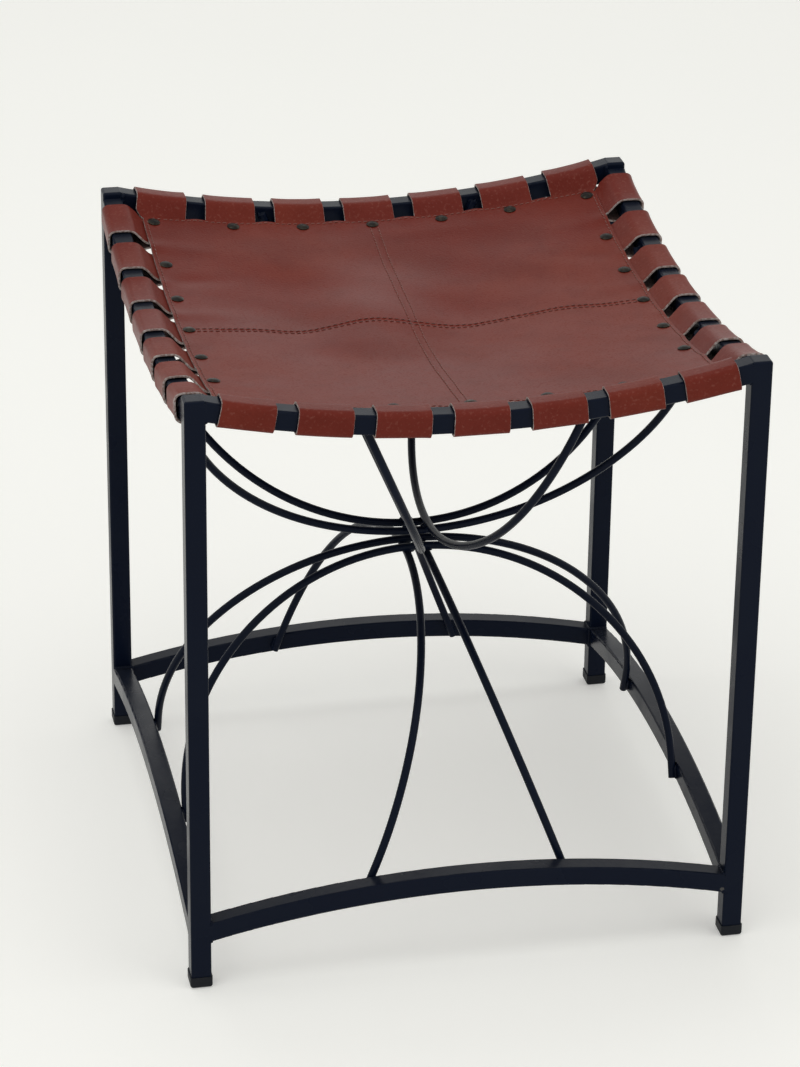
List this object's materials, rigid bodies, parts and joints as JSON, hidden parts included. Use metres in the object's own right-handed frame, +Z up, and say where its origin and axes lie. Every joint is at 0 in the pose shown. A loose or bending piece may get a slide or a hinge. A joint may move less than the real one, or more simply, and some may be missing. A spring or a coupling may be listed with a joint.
{
  "type": "stool",
  "caption": "Square-tube metal stool with bowed rails and stretchers, crossing bundles of bent bracing rods and a riveted leather seat whose straps wrap the rails.",
  "frame": {"origin": "on the floor, under the middle of the frame", "axes": "+Z up, +X to the right seen from the front, the front faces -Y"},
  "size_m": [0.4192, 0.4292, 0.465],
  "materials": {
    "frame_paint": "satin black powder coat",
    "foot_plastic": "matt moulded black",
    "seat_leather": "smooth reddish brown saddle leather with a soft sheen",
    "strap_leather": "smooth reddish brown saddle leather with raw cut edges",
    "rivet_metal": "dark antique domes with a worn shine"
  },
  "bodies": {
    "root": {"leg_front_left": "frame_paint", "foot_cap_front_left": "foot_plastic", "leg_front_right": "frame_paint", "foot_cap_front_right": "foot_plastic", "leg_back_left": "frame_paint", "foot_cap_back_left": "foot_plastic", "leg_back_right": "frame_paint", "foot_cap_back_right": "foot_plastic", "top_rail_front": "frame_paint", "stretcher_front": "frame_paint", "lower_rod_front": "frame_paint", "upper_rod_front": "frame_paint", "strap_front_1": "strap_leather", "strap_front_2": "strap_leather", "strap_front_3": "strap_leather", "strap_front_4": "strap_leather", "strap_front_5": "strap_leather", "strap_front_6": "strap_leather", "strap_front_7": "strap_leather", "top_rail_right": "frame_paint", "stretcher_right": "frame_paint", "lower_rod_right": "frame_paint", "upper_rod_right": "frame_paint", "strap_right_1": "strap_leather", "strap_right_2": "strap_leather", "strap_right_3": "strap_leather", "strap_right_4": "strap_leather", "strap_right_5": "strap_leather", "strap_right_6": "strap_leather", "strap_right_7": "strap_leather", "top_rail_back": "frame_paint", "stretcher_back": "frame_paint", "lower_rod_back": "frame_paint", "upper_rod_back": "frame_paint", "strap_back_1": "strap_leather", "strap_back_2": "strap_leather", "strap_back_3": "strap_leather", "strap_back_4": "strap_leather", "strap_back_5": "strap_leather", "strap_back_6": "strap_leather", "strap_back_7": "strap_leather", "top_rail_left": "frame_paint", "stretcher_left": "frame_paint", "lower_rod_left": "frame_paint", "upper_rod_left": "frame_paint", "strap_left_1": "strap_leather", "strap_left_2": "strap_leather", "strap_left_3": "strap_leather", "strap_left_4": "strap_leather", "strap_left_5": "strap_leather", "strap_left_6": "strap_leather", "strap_left_7": "strap_leather", "seat_panel": "seat_leather", "rivets": "rivet_metal", "rivet_rings": "rivet_metal"}
  },
  "joints": []
}
